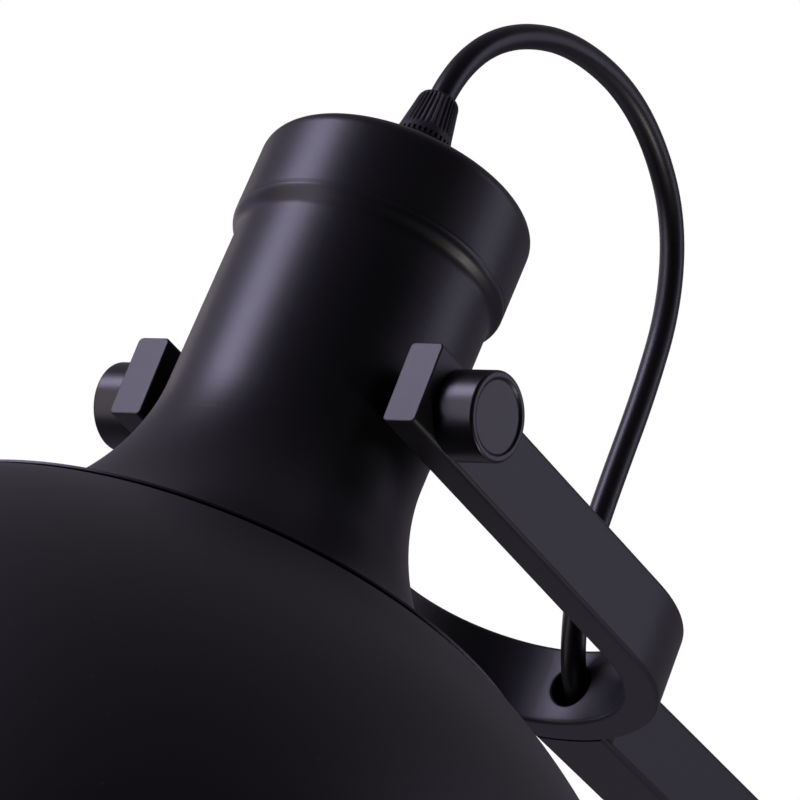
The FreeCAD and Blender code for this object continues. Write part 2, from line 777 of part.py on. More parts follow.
def make_pivot_nuts():
    """Weld nut on the inside of each frame arm."""
    nuts = []
    for name, turn in (("right", 90), ("left", -90)):
        body = new_body(f"pivot_nut_{name}")
        outline = new_sketch(body, "XY_Plane", f"nut_{name}_outline", [hexagon(10.0)],
                             circles=[(0, 0, d.stud_radius + 0.05)], lift=as_size(24.5))
        pad(body, f"nut_{name}_pad", outline, 5.0)
        body.Placement = HEAD_PLACE.multiply(turned_to(Y_AXIS, turn))
        nuts.append(body)
    return node(group("pivot_nut_set", nuts), "pivot_nuts")


def make_pivot_spacers():
    """Nylon spacers between the neck and the yoke's legs, hollowed to sit on the round neck."""
    neck = rod("neck_form", d.neck_radius, 60.0, HEAD_PLACE.multiply(place((0, 0, -30))))
    spacers = []
    for name, turn in (("right", 90), ("left", -90)):
        near, far = as_size(32.0), d.yoke_inner_radius - 0.12
        corners = [(d.stud_radius + 0.15, near), (8.0, near), (8.0, far), (d.stud_radius + 0.15, far)]
        body = lathe(f"spacer_{name}", corners, label=False)
        body.Placement = HEAD_PLACE.multiply(turned_to(Y_AXIS, turn))
        spacers.append(body)
    return cut("pivot_spacers", group("spacer_pair", spacers), neck)


def make_knob(name, turn):
    """Round clamp knob with a dished face, and the threaded stud that is fixed in it."""
    spot = HEAD_PLACE.multiply(turned_to(Y_AXIS, turn))
    near = yoke_outer_radius + d.knob_gap
    far = near + d.knob_length
    radius = d.knob_radius
    hole = d.stud_radius
    deep = far - 4.0
    corners = [
        (hole, near), (radius - 0.8, near), (radius, near + 0.8), (radius, far - 0.7, 0.7),
        (radius - 0.7, far), (radius - 1.4, far), (radius - 1.9, far - 0.6), (0, far - 0.6),
        (0, deep), (hole, deep),
    ]
    lathe(name, corners, spot)
    start = 20.0
    stud = [
        (0, start), (hole - 0.8, start), (hole, start + 0.8), (hole, deep), (0, deep),
    ]
    return lathe(f"{name}_stud", stud, spot)


def make_cord_grip():
    """Nylon cord grip on top of the cap: shank and flange, lock nut, seal and clamping nut."""
    top = d.cap_top
    seat = top + d.grip_height
    bore = d.flex_radius + 0.3
    shank = 5.1
    body = [
        (bore, top - 9.0), (shank, top - 9.0), (shank, top), (8.2, top), (8.2, top + 1.6),
        (7.2, top + 2.2), (7.2, seat - 1.7), (8.2, seat - 1.1), (8.2, seat), (6.6, seat),
        (6.6, seat + 2.6), (bore, seat + 2.6),
    ]
    lathe("cord_grip_body", body, HEAD_PLACE)
    nut = new_body("cord_grip_locknut")
    outline = new_sketch(nut, "XY_Plane", "locknut_outline", [hexagon(14.0)], circles=[(0, 0, shank)],
                         lift=top - d.sheet_wall - 3.2)
    pad(nut, "locknut_pad", outline, 3.2)
    node(nut, "cord_grip_locknut", HEAD_PLACE)
    squeeze = seat + 9.6
    seal = [(d.flex_radius, seat + 2.6), (5.4, seat + 2.6), (5.0, squeeze), (d.flex_radius, squeeze)]
    lathe("cord_grip_seal", seal, HEAD_PLACE)
    mouth = d.flex_radius + 0.2
    end = seat + d.grip_nut_length
    cone = [
        (6.7, seat + 0.2), (7.7, seat + 0.2), (7.9, seat + 0.9), (5.6, end - 1.1), (5.0, end),
        (mouth, end), (mouth, squeeze + 0.2), (5.5, squeeze + 0.2), (6.7, seat + 2.8),
    ]
    return lathe("cord_grip_nut", cone, HEAD_PLACE)


def make_lampholder():
    """Screw lampholder clamped through the crown: cap, body, ring, brass thread and contact."""
    crown = d.crown_height
    top = crown + 19.0
    cap = [
        (4.0, top + 17.0), (9.0, top + 17.0), (18.0, top + 9.0), (18.0, top),
        (16.4, top), (16.4, top + 8.2), (8.4, top + 15.4), (4.0, top + 15.4),
    ]
    lathe("holder_cap", cap, HEAD_PLACE)
    tube = d.crown_hole_radius - 0.3
    foot = crown - 19.0
    body = [
        (4.0, top), (18.0, top), (18.0, top - 6.0), (tube, top - 6.0), (tube, crown + 4.5),
        (24.0, crown + 4.5), (24.0, crown + 2.0), (tube, crown + 2.0), (tube, foot),
        (17.5, foot), (17.5, top - 6.5), (4.0, top - 6.5),
    ]
    lathe("holder_body", body, HEAD_PLACE)
    under = crown - d.sheet_wall
    ring = [
        (tube, under), (27.0, under), (27.0, under - 2.0), (24.0, under - 6.0), (tube, under - 6.0),
    ]
    lathe("holder_ring", ring, HEAD_PLACE)
    floor = top - 6.5
    thread = [
        (13.8, floor), (17.4, floor), (17.4, floor - 0.8), (14.5, floor - 0.8),
        (14.5, floor - 26.0), (13.8, floor - 26.0),
    ]
    lathe("holder_thread", thread, HEAD_PLACE)
    contact = [(0, floor), (6.0, floor), (6.0, floor - 1.0), (3.0, floor - 3.5), (0, floor - 3.5)]
    return lathe("holder_contact", contact, HEAD_PLACE)


def make_bulb():
    """Screw-cap bulb with a pear-shaped opal glass."""
    tip = d.crown_height + 19.0 - 6.5 - 3.5
    contact = [(0, tip), (4.5, tip - 0.6), (4.8, tip - 1.6), (9.5, tip - 4.5), (9.5, tip - 5.0), (0, tip - 5.0)]
    lathe("bulb_contact", contact, HEAD_PLACE)
    shoulder = tip - 5.0
    cap_foot = tip - 25.0
    cap = [
        (0, shoulder), (9.5, shoulder), (13.2, shoulder - 3.0), (13.2, cap_foot), (12.4, cap_foot),
        (12.4, shoulder - 3.4), (9.2, shoulder - 0.8), (0, shoulder - 0.8),
    ]
    lathe("bulb_cap", cap, HEAD_PLACE)
    wall = 1.0
    ball, neck = as_size(30.0), as_size(13.2)
    drop = as_size(42.0)
    neck_end = cap_foot - 9.0
    centre = neck_end - drop
    flare = (neck * neck + drop * drop - ball * ball) / ((ball - neck) * 2.0)
    share = ball / (ball + flare)
    share_in = (ball - wall) / (ball + flare)
    glass = [
        (neck, cap_foot), (neck, neck_end, flare),
        ((neck + flare) * share, centre + drop * share, -ball), (ball, centre, -ball), (0, centre - ball),
        (0, centre - ball + wall, ball - wall), (ball - wall, centre, ball - wall),
        ((neck + flare) * share_in, centre + drop * share_in, -(flare + wall)),
        (neck - wall, neck_end), (neck - wall, cap_foot),
    ]
    return lathe("bulb_glass", glass, HEAD_PLACE)


# ---------------------------------------------------------------- flex
def rounded_route(points):
    """Straight runs joined by tangent arcs, each as large as its two runs allow."""
    edges = []
    radii = []
    here = points[0]
    for before, corner, after in zip(points, points[1:], points[2:]):
        back, on = before - corner, after - corner
        turn = math.pi - back.getAngle(on)
        trim = 0.45 * min(back.Length, on.Length)
        radii.append(trim / math.tan(turn / 2.0))
        back.normalize()
        on.normalize()
        start, end = corner + back * trim, corner + on * trim
        inward = (back + on).normalize()
        depth = radii[-1] / math.cos(turn / 2.0) - radii[-1]
        if (start - here).Length > 1e-6:
            edges.append(Part.LineSegment(here, start).toShape())
        edges.append(Part.Arc(start, corner + inward * depth, end).toShape())
        here = end
    edges.append(Part.LineSegment(here, points[-1]).toShape())
    return Part.Wire(edges), radii


def flex_tube(label, wire):
    """Sweep the flex's round section along a wire and compare its volume with section times length."""
    radius = d.flex_radius.value
    first = wire.Edges[0]
    start = first.Vertexes[0].Point
    heading = first.tangentAt(first.FirstParameter)
    section = Part.Wire(Part.Circle(start, heading, radius).toShape())
    solid = wire.makePipeShell([section], True, False)
    expected = math.pi * radius ** 2 * wire.Length
    print(f"{label}: length {wire.Length:.1f}, volume ratio {solid.Volume / expected:.4f}")
    feature = doc.addObject("Part::Feature", f"{label}_tube")
    feature.Shape = solid
    return node(feature, label)


# Free loop from the cord grip to the yoke, chosen by hand: (x, y, z) from the pivot.
LOOP_POINTS = [
    (0.0, 54.73, 75.19), (0.0, 60.9, 83.7), (0.2, 76.2, 93.6), (0.4, 95.0, 97.2), (0.7, 116.9, 95.0),
    (1.0, 140.1, 84.5), (1.3, 155.7, 68.3), (1.6, 164.3, 47.5), (1.9, 161.6, 23.8), (2.2, 148.7, 0.2),
    (2.5, 134.3, -20.5), (2.7, 122.7, -38.4), (2.9, 116.2, -52.0), (3.1, 114.0, -64.5),
    (2.7, 114.7, -73.9), (1.6, 118.8, -80.5), (1.6, 126.0, -85.0),
]


def make_head_flex():
    points = [pivot + FreeCAD.Vector(*point) for point in LOOP_POINTS]
    wire, radii = rounded_route(points)
    print("head_flex radii:", " ".join(f"{radius:.0f}" for radius in radii))
    return flex_tube("head_flex", wire)


def make_neck_flex():
    """Straight length from the cord grip down to the lampholder."""
    start = HEAD_PLACE.multVec(FreeCAD.Vector(0, 0, d.cap_top.value + d.grip_height.value + 10.0))
    end = HEAD_PLACE.multVec(FreeCAD.Vector(0, 0, d.crown_height.value + 19.0 + 14.0))
    return flex_tube("neck_flex", Part.Wire([Part.LineSegment(start, end).toShape()]))


def make_arm_flex():
    """Length inside the tubes, from behind the yoke's web down to the terminals in the base."""
    begin = pivot + FreeCAD.Vector(*LOOP_POINTS[-1])
    heading = (begin - pivot - FreeCAD.Vector(*LOOP_POINTS[-2])).normalize()
    centred = arm_point(d.tip_length.value - 90.0)
    turn = math.radians(arc_angle)
    radius = d.arc_radius.value
    start_height = d.arc_start_height.value
    bend = 20.0
    low = d.inlet_height.value
    arc_end = arm_point(0.0)
    half_turn = turn / 2.0
    middle = FreeCAD.Vector(0, -radius * (1 - math.cos(half_turn)), start_height + radius * math.sin(half_turn))
    arc_start = FreeCAD.Vector(0, 0, start_height)
    bend_start = FreeCAD.Vector(0, 0, low + bend)
    bend_end = FreeCAD.Vector(0, bend, low)
    slack = math.sqrt(0.5)
    bend_middle = FreeCAD.Vector(0, bend * (1 - slack), low + bend * (1 - slack))
    entry, _ = rounded_route([begin, begin + heading * 8.0, begin + heading * 8.0 + (centred - begin) * 0.4,
                              centred, arc_end])
    edges = entry.Edges + [
        Part.Arc(arc_end, middle, arc_start).toShape(),
        Part.LineSegment(arc_start, bend_start).toShape(),
        Part.Arc(bend_start, bend_middle, bend_end).toShape(),
        Part.LineSegment(bend_end, FreeCAD.Vector(0, 45.9, low)).toShape(),
    ]
    return flex_tube("arm_flex", Part.Wire(edges))


# ---------------------------------------------------------------- build
def build():
    make_base_mat()
    make_base_weight()
    make_base_cover()
    make_base_inlet()
    make_terminal_block()
    make_pole_flange()
    make_pole_collar()
    make_flange_screws()
    make_pole()
    make_joiner("lower_joiner", place((0, 0, joint_height.value)))
    make_arc_tube()
    make_joiner("upper_joiner", TIP_PLACE.multiply(place((0, 0, d.joint_straight.value))))
    make_tip_tube()
    make_yoke()
    make_yoke_welds()
    make_neck_housing()
    make_dome_shade()
    make_seam_gasket()
    make_head_frame()
    make_pivot_nuts()
    make_pivot_spacers()
    make_knob("knob_right", 90)
    make_knob("knob_left", -90)
    make_cord_grip()
    make_lampholder()
    make_bulb()
    make_head_flex()
    make_neck_flex()
    make_arm_flex()


def check_document():
    """Stop if any object failed or any sub-part has no sound shape."""
    doc.recompute()
    for item in doc.Objects:
        if "Invalid" in item.State or "Error" in item.State:
            raise RuntimeError(f"{item.Name} failed: {item.State}")
    for item in NODES:
        if item.Shape.isNull() or not item.Shape.isValid() or not item.Shape.Solids:
            raise RuntimeError(f"{item.Label} has no sound shape")


def export_nodes():
    os.makedirs("parts", exist_ok=True)
    for item in NODES:
        item.Shape.exportStep(f"parts/{item.Label}.step")
        box = item.Shape.BoundBox
        print(f"{item.Label}: {len(item.Shape.Solids)} solid, {item.Shape.Volume / 1000:.2f} cm3, "
              f"z {box.ZMin:.1f} to {box.ZMax:.1f}")


build()
check_document()
export_nodes()
print(f"pivot at y {pivot.y:.2f}, z {pivot.z:.2f}; {len(NODES)} sub-parts")
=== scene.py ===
import json
import math

import bmesh
import bpy
from mathutils import Matrix, Vector


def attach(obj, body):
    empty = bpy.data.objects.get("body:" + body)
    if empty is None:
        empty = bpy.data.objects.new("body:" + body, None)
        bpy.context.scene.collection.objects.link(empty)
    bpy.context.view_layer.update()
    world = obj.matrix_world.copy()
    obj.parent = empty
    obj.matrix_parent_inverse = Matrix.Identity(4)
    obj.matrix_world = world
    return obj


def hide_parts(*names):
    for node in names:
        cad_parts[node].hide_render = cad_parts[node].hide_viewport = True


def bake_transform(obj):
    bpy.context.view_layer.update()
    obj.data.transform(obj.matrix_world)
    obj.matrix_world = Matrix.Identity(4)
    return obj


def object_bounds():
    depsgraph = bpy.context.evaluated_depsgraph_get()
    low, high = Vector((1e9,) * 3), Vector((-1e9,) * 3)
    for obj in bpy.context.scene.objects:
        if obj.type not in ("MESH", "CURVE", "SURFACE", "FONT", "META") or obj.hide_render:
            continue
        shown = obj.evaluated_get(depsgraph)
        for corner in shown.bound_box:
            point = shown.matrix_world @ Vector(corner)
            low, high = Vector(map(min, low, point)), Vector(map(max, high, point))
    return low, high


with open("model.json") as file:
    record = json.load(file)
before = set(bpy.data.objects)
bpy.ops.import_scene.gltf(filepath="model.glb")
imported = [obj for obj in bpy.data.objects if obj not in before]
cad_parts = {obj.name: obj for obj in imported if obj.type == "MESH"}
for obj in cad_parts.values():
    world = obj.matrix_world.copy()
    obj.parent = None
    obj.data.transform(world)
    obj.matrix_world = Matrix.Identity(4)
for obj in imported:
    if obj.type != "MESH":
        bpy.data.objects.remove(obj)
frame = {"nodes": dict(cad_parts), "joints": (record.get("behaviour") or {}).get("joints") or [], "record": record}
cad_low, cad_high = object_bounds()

# Arc floor lamp with a tilting dome head, in metres, +Z up.
# Shapes are written in millimetres in a piece's own frame, and MM brings them to metres.
MM = 0.001

# ---------------------------------------------------------------- places
PIVOT = Vector(next(joint["pos_m"] for joint in frame["joints"] if joint["name"] == "head_tilt"))
HEAD_LEAN = 36.05       # degrees from upright, dome forward
YOKE_RISE = 56.3        # degrees between the yoke's legs and upright

HEAD = Matrix.Translation(PIVOT) @ Matrix.Rotation(math.radians(-HEAD_LEAN), 4, "X")
YOKE = Matrix.Translation(PIVOT) @ Matrix.Rotation(math.radians(YOKE_RISE), 4, "X")
KNOB_RIGHT = HEAD @ Matrix.Rotation(math.radians(90.0), 4, "Y")
KNOB_LEFT = HEAD @ Matrix.Rotation(math.radians(-90.0), 4, "Y")

# ---------------------------------------------------------------- camera
VIEW_TURN = math.radians(36.434)      # round from straight in front
VIEW_LIFT = math.radians(1.925)       # above level
VIEW_DISTANCE = 1.5129                # from the pivot
VIEW_ASIDE = 0.02387                  # aim to the right of the pivot
VIEW_ABOVE = 0.00294                  # aim above the pivot
VIEW_LENS = 270.0


def view_axes():
    """Unit vectors towards the camera, to its right and up."""
    back = Vector((math.sin(VIEW_TURN) * math.cos(VIEW_LIFT),
                   -math.cos(VIEW_TURN) * math.cos(VIEW_LIFT),
                   math.sin(VIEW_LIFT)))
    right = Vector((math.cos(VIEW_TURN), math.sin(VIEW_TURN), 0.0))
    return back, right, back.cross(right)


def place_camera():
    back, right, up = view_axes()
    data = bpy.data.cameras.new("camera")
    data.lens = VIEW_LENS
    data.sensor_width = 36.0
    data.clip_start = 0.1
    data.clip_end = 60.0
    camera = bpy.data.objects.new("camera", data)
    bpy.context.scene.collection.objects.link(camera)
    camera.rotation_mode = "QUATERNION"
    camera.location = PIVOT + back * VIEW_DISTANCE + right * VIEW_ASIDE + up * VIEW_ABOVE
    camera.rotation_quaternion = back.to_track_quat("Z", "Y")
    bpy.context.scene.camera = camera


place_camera()

# ---------------------------------------------------------------- mesh helpers
CRISP_ANGLE = math.radians(35.0)


def finish_mesh(name, vertices, faces):
    """Object from vertices and faces, shaded smooth but for the edges over the crisp angle."""
    mesh = bpy.data.meshes.new(name)
    mesh.from_pydata([tuple(v) for v in vertices], [], faces)
    work = bmesh.new()
    work.from_mesh(mesh)
    bmesh.ops.recalc_face_normals(work, faces=work.faces)
    work.to_mesh(mesh)
    work.free()
    mesh.shade_smooth()
    mesh.set_sharp_from_angle(angle=CRISP_ANGLE)
    piece = bpy.data.objects.new(name, mesh)
    bpy.context.scene.collection.objects.link(piece)
    weighted = piece.modifiers.new("even_shading", "WEIGHTED_NORMAL")
    weighted.keep_sharp = True
    return piece


def arc(across, height, radius, start, end, steps=8):
    """Points on an arc of a half outline, angles in degrees from the outward direction."""
    points = []
    for i in range(steps + 1):
        angle = math.radians(start + (end - start) * i / steps)
        points.append((across + radius * math.cos(angle), height + radius * math.sin(angle)))
    return points


def curve(a, b, c, d, steps=24):
    """Points on a cubic Bezier curve, without its first point."""
    points = []
    for i in range(1, steps + 1):
        t = i / steps
        s = 1.0 - t
        first, second, third, last = s * s * s, 3 * s * s * t, 3 * s * t * t, t * t * t
        points.append(tuple(first * a[k] + second * b[k] + third * c[k] + last * d[k] for k in (0, 1)))
    return points


def line(a, b, steps):
    """Evenly spaced points from a to b, without a itself."""
    return [(a[0] + (b[0] - a[0]) * i / steps, a[1] + (b[1] - a[1]) * i / steps)
            for i in range(1, steps + 1)]


def turned(name, outline, place, around, swell=None):
    """Spin a closed half outline of (radius, height) about the place's own Z axis.

    swell(radius, height, angle) gives the radius where the piece isn't round.
    """
    vertices = []
    rings = []
    for radius, height in outline:
        if radius < 1e-6:
            rings.append([len(vertices)] * around)
            vertices.append(place @ Vector((0.0, 0.0, height * MM)))
            continue
        rings.append(list(range(len(vertices), len(vertices) + around)))
        for i in range(around):
            angle = math.tau * i / around
            reach = swell(radius, height, angle) if swell else radius
            spot = Vector((reach * MM * math.cos(angle), reach * MM * math.sin(angle), height * MM))
            vertices.append(place @ spot)
    faces = []
    for ring, beyond in zip(rings, rings[1:] + rings[:1]):
        for i in range(around):
            j = (i + 1) % around
            corners = list(dict.fromkeys([ring[i], ring[j], beyond[j], beyond[i]]))
            if len(corners) > 2:
                faces.append(corners)
    return finish_mesh(name, vertices, faces)


# ---------------------------------------------------------------- flex
FLEX_RADIUS = 3.4 * MM
# Free loop from the cord grip to the yoke's web, from the pivot, in metres.
LOOP_POINTS = [
    (0.0, 0.05473, 0.07519), (0.0, 0.0609, 0.0837), (0.0002, 0.0762, 0.0936),
    (0.0004, 0.0950, 0.0972), (0.0007, 0.1169, 0.0950), (0.0010, 0.1401, 0.0845),
    (0.0013, 0.1557, 0.0683), (0.0016, 0.1643, 0.0475), (0.0019, 0.1616, 0.0238),
    (0.0022, 0.1487, 0.0002), (0.0025, 0.1343, -0.0205), (0.0027, 0.1227, -0.0384),
    (0.0029, 0.1162, -0.0520), (0.0031, 0.1140, -0.0645), (0.0027, 0.1147, -0.0739),
    (0.0016, 0.1188, -0.0805), (0.0016, 0.1260, -0.0850),
]


def loop_line():
    """Points read from the smooth spline whose control points are the route's points."""
    data = bpy.data.curves.new("head_flex_route", "CURVE")
    data.dimensions = "3D"
    data.resolution_u = 12
    spline = data.splines.new("NURBS")
    spline.points.add(len(LOOP_POINTS) - 1)
    for point, place in zip(spline.points, LOOP_POINTS):
        point.co = (*(PIVOT + Vector(place)), 1.0)
    spline.order_u = 3
    spline.use_endpoint_u = True
    route = bpy.data.objects.new("head_flex_route", data)
    bpy.context.scene.collection.objects.link(route)
    bpy.context.view_layer.update()
    mesh = bpy.data.meshes.new_from_object(route)
    points = [v.co.copy() for v in mesh.vertices]
    bpy.data.objects.remove(route)
    bpy.data.meshes.remove(mesh)
    return points


def make_head_flex():
    """Round flex swept along the spline, closed at both ends."""
    centres = loop_line()
    around = 32
    vertices = []
    for i, centre in enumerate(centres):
        heading = (centres[min(i + 1, len(centres) - 1)] - centres[max(i - 1, 0)]).normalized()
        side = heading.cross(Vector((1.0, 0.0, 0.0))).normalized()
        across = side.cross(heading)
        for k in range(around):
            angle = math.tau * k / around
            vertices.append(centre + (side * math.cos(angle) + across * math.sin(angle)) * FLEX_RADIUS)
    faces = []
    for i in range(len(centres) - 1):
        for k in range(around):
            low, high = i * around, (i + 1) * around
            faces.append([low + k, low + (k + 1) % around, high + (k + 1) % around, high + k])
    faces.append(list(range(around)))
    faces.append(list(range(len(vertices) - around, len(vertices))))
    piece = finish_mesh("free_flex", vertices, faces)
    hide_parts("head_flex")
    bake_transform(piece)
    return piece


# ---------------------------------------------------------------- head
SHEET = 1.2             # sheet thickness of the spun pieces
CAP_TOP = 68.6
CAP_RADIUS = 36.9
CAP_ROUND = 4.6
STEP_TOP = 45.6
STEP_LOW = 39.4
NECK_RADIUS = 34.7
FLARE_START = -7.9
FLARE_END = -73.5
RIM_THICK = 0.8         # the flare thins a little where it is trimmed
FLARE_RADIUS = 87.2
FLARE_PULL = 0.473      # how far the flare's curve leans on its two end directions


def flare(inset=0.0, lift=0.0, steps=40):
    """Curve from the straight neck out to the rim."""
    neck = NECK_RADIUS - inset
    end = FLARE_END + lift
    start = (neck, FLARE_START)
    drop = (neck, FLARE_START + (FLARE_END - FLARE_START) * FLARE_PULL)
    lean = (FLARE_RADIUS - (FLARE_RADIUS - neck) * FLARE_PULL, end)
    return curve(start, drop, lean, (FLARE_RADIUS, end), steps)


def make_neck_housing():
    """Spun neck: flat cap with a rolled edge, fine crease, soft shoulder step and wide flare."""
    bore = 5.2
    crease = 0.16           # depth of the fine line under the cap
    crease_half = 0.25
    rim_swell = 0.12
    rim_ease = 0.15
    middle = (STEP_TOP + STEP_LOW) / 2.0
    outline = [(bore, CAP_TOP)]
    outline += line((bore, CAP_TOP), (CAP_RADIUS - CAP_ROUND, CAP_TOP), 6)
    outline += arc(CAP_RADIUS - CAP_ROUND, CAP_TOP - CAP_ROUND, CAP_ROUND, 90, 0, 12)[1:]
    outline += line((CAP_RADIUS, CAP_TOP - CAP_ROUND), (CAP_RADIUS, STEP_TOP + 0.5), 4)
    outline += [(CAP_RADIUS - crease * 0.7, STEP_TOP + crease_half), (CAP_RADIUS - crease, STEP_TOP),
                (CAP_RADIUS - crease * 0.7, STEP_TOP - crease_half)]
    outline += curve((CAP_RADIUS, STEP_TOP - 0.5), (CAP_RADIUS, middle), (NECK_RADIUS, middle),
                     (NECK_RADIUS, STEP_LOW), 20)
    outline += line((NECK_RADIUS, STEP_LOW), (NECK_RADIUS, FLARE_START), 8)
    outline += flare()
    outline += [(FLARE_RADIUS + rim_swell, FLARE_END - rim_ease),
                (FLARE_RADIUS + rim_swell, FLARE_END - RIM_THICK + rim_ease),
                (FLARE_RADIUS, FLARE_END - RIM_THICK)]
    inside = [(bore, CAP_TOP - SHEET), (CAP_RADIUS - CAP_ROUND, CAP_TOP - SHEET)]
    inside += arc(CAP_RADIUS - CAP_ROUND, CAP_TOP - CAP_ROUND, CAP_ROUND - SHEET, 90, 0, 6)[1:]
    inside += [(CAP_RADIUS - SHEET, STEP_TOP), (NECK_RADIUS - SHEET, STEP_LOW),
               (NECK_RADIUS - SHEET, FLARE_START)]
    inside += flare(SHEET, -RIM_THICK)[:-1]
    outline += list(reversed(inside))
    piece = turned("neck_shell", outline, HEAD, around=192)
    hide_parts("neck_housing")
    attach(piece, "head")
    return piece


DOME_RADIUS = 165.0
DOME_CENTRE = -214.5
DOME_MOUTH = 88.6       # radius where the dome ends at the sunk crown
CROWN = -79.0
CROWN_HOLE = 20.5


def make_dome_shade():
    """Half-sphere shade: rolled rim below, sunk flat crown above, black outside and white inside."""
    lip = 0.8               # round of the turned-in lip round the crown
    ease = 0.4
    lip_start = DOME_MOUTH + lip
    lip_angle = math.degrees(math.acos(lip_start / DOME_RADIUS))
    inner = DOME_RADIUS - SHEET
    step = DOME_MOUTH + SHEET * 0.7
    step_angle = math.degrees(math.acos(step / inner))
    hem = 1.5
    outline = arc(0.0, DOME_CENTRE, DOME_RADIUS, 0, lip_angle, 72)
    lip_lean = math.radians(lip_angle)
    lip_middle = (outline[-1][0] - lip * math.cos(lip_lean), outline[-1][1] - lip * math.sin(lip_lean))
    outline += arc(lip_middle[0], lip_middle[1], lip, lip_angle, 180, 8)[1:]
    edge = outline[-1]
    outline += [(edge[0], CROWN + ease), (edge[0] - ease, CROWN)]
    outline += line((edge[0] - ease, CROWN), (CROWN_HOLE, CROWN), 5)
    outline += [(CROWN_HOLE, CROWN - SHEET)]
    outline += line((CROWN_HOLE, CROWN - SHEET), (step, CROWN - SHEET), 5)
    outline += arc(0.0, DOME_CENTRE, inner, step_angle, 0, 72)
    outline += arc(DOME_RADIUS - hem, DOME_CENTRE - hem, hem, 180, 360, 12)
    piece = turned("dome", outline, HEAD, around=256)
    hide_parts("dome_shade")
    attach(piece, "head")
    return piece


# ---------------------------------------------------------------- knobs
KNOB_RADIUS = 11.55
KNOB_NEAR = 48.4
KNOB_FAR = 60.0


def make_knob(name, node_name, place):
    """Turned clamp knob: rounded edges and a shallow dished face inside a narrow rim."""
    back_edge = 0.8
    edge = 0.9
    dish = 0.6
    rim = 1.5
    outline = [(0.0, KNOB_NEAR), (4.0, KNOB_NEAR), (KNOB_RADIUS - back_edge, KNOB_NEAR)]
    outline += arc(KNOB_RADIUS - back_edge, KNOB_NEAR + back_edge, back_edge, -90, 0, 6)[1:]
    outline += line((KNOB_RADIUS, KNOB_NEAR + back_edge), (KNOB_RADIUS, KNOB_FAR - edge), 4)
    outline += arc(KNOB_RADIUS - edge, KNOB_FAR - edge, edge, 0, 90, 8)[1:]
    lip = KNOB_RADIUS - edge - rim * 0.4
    outline += [(lip, KNOB_FAR)]
    outline += curve((lip, KNOB_FAR), (lip - 0.5, KNOB_FAR), (lip - 0.5, KNOB_FAR - dish),
                     (lip - 1.2, KNOB_FAR - dish), 8)
    outline += line((lip - 1.2, KNOB_FAR - dish), (0.0, KNOB_FAR - dish), 4)
    piece = turned(name, outline, place, around=96)
    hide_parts(node_name)
    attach(piece, node_name)
    return piece


# ---------------------------------------------------------------- cord grip
GRIP_RIBS = 32
GRIP_SEAT = CAP_TOP + 14.4      # shoulder that the nut screws down to
GRIP_TOP = GRIP_SEAT + 15.0
GRIP_MOUTH = 3.6
FLUTE_DEPTH = 0.42
NOTCH_DEPTH = 0.75


def ramp(value, low, high):
    return min(1.0, max(0.0, (value - low) / (high - low)))


def ribbed(radius, height, angle):
    """Rounded flutes along the nut's cone, fading out at both ends, and square notches at its foot."""
    if radius < GRIP_MOUTH + 0.9:
        return radius
    turn = (angle * GRIP_RIBS / math.tau) % 1.0
    flute = 0.5 - 0.5 * math.cos(math.tau * turn)
    rise = ramp(height, GRIP_SEAT + 3.2, GRIP_SEAT + 4.4)
    share = rise * (1.0 - ramp(height, GRIP_TOP - 1.6, GRIP_TOP - 0.4))
    notch = 1.0 if 0.25 < turn < 0.75 and GRIP_SEAT + 0.45 < height < GRIP_SEAT + 1.65 else 0.0
    return radius - FLUTE_DEPTH * flute * share - NOTCH_DEPTH * notch


def make_grip_nut():
    """Clamping nut of the cord grip: ribbed cone on a smooth skirt, with a row of teeth at its foot."""
    low = GRIP_SEAT
    outline = [(6.7, low + 0.2), (7.7, low + 0.2), (7.95, low + 0.35), (7.95, low + 0.4), (7.9, low + 0.5),
               (7.85, low + 1.6), (7.8, low + 1.7)]
    outline += curve((7.8, low + 1.7), (7.6, low + 2.6), (7.3, low + 3.4), (7.1, low + 4.6), 8)
    outline += line((7.1, low + 4.6), (5.7, GRIP_TOP - 2.0), 12)
    outline += curve((5.7, GRIP_TOP - 2.0), (5.6, GRIP_TOP - 0.8), (5.1, GRIP_TOP), (4.2, GRIP_TOP), 8)
    outline += [(GRIP_MOUTH, GRIP_TOP - 0.3), (GRIP_MOUTH, low + 9.8), (5.3, low + 9.8), (6.3, low + 2.8)]
    piece = turned("grip_nut", outline, HEAD, around=GRIP_RIBS * 8, swell=ribbed)
    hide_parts("cord_grip_nut")
    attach(piece, "head")
    return piece


# ---------------------------------------------------------------- yoke
BAR_WIDTH = 22.9
BAR_THICK = 10.0
BAR_ROUND = 1.4
YOKE_INNER = 38.2
YOKE_MIDDLE = YOKE_INNER + BAR_THICK / 2.0
LEG_END = 15.7
LEG_LENGTH = 100.4
PIVOT_BORE = 3.3
FLEX_HOLE = 5.9
FLEX_HOLE_ASIDE = 1.6
SIDE_STEPS = 12         # quads along each side of the square patch round a hole
LEG_STEPS = 14
BEND_STEPS = 24
HALF_PATCH = BAR_WIDTH / 2.0 - BAR_ROUND
END_EASE = 0.45
HOLE_EASE = 0.7


def bar_section(inset, across_steps):
    """Closed section of the bar: (width, thickness) points, outer face first, then the inner one."""
    half = BAR_WIDTH / 2.0 - inset
    deep = BAR_THICK / 2.0 - inset
    turn = BAR_ROUND - inset
    flat = half - turn
    section = []
    corners = 5
    leans = [math.radians(90.0 * i / corners) for i in range(1, corners)]
    for face in (1.0, -1.0):
        section += [(face * (-flat + 2.0 * flat * i / across_steps), face * deep)
                    for i in range(across_steps + 1)]
        section += [(face * (flat + turn * math.sin(lean)), face * (deep - turn + turn * math.cos(lean)))
                    for lean in leans]
        section.append((face * half, face * (deep - turn)))
        section.append((face * half, -face * (deep - turn)))
        section += [(face * (flat + turn * math.cos(lean)), -face * (deep - turn + turn * math.sin(lean)))
                    for lean in leans]
    return section


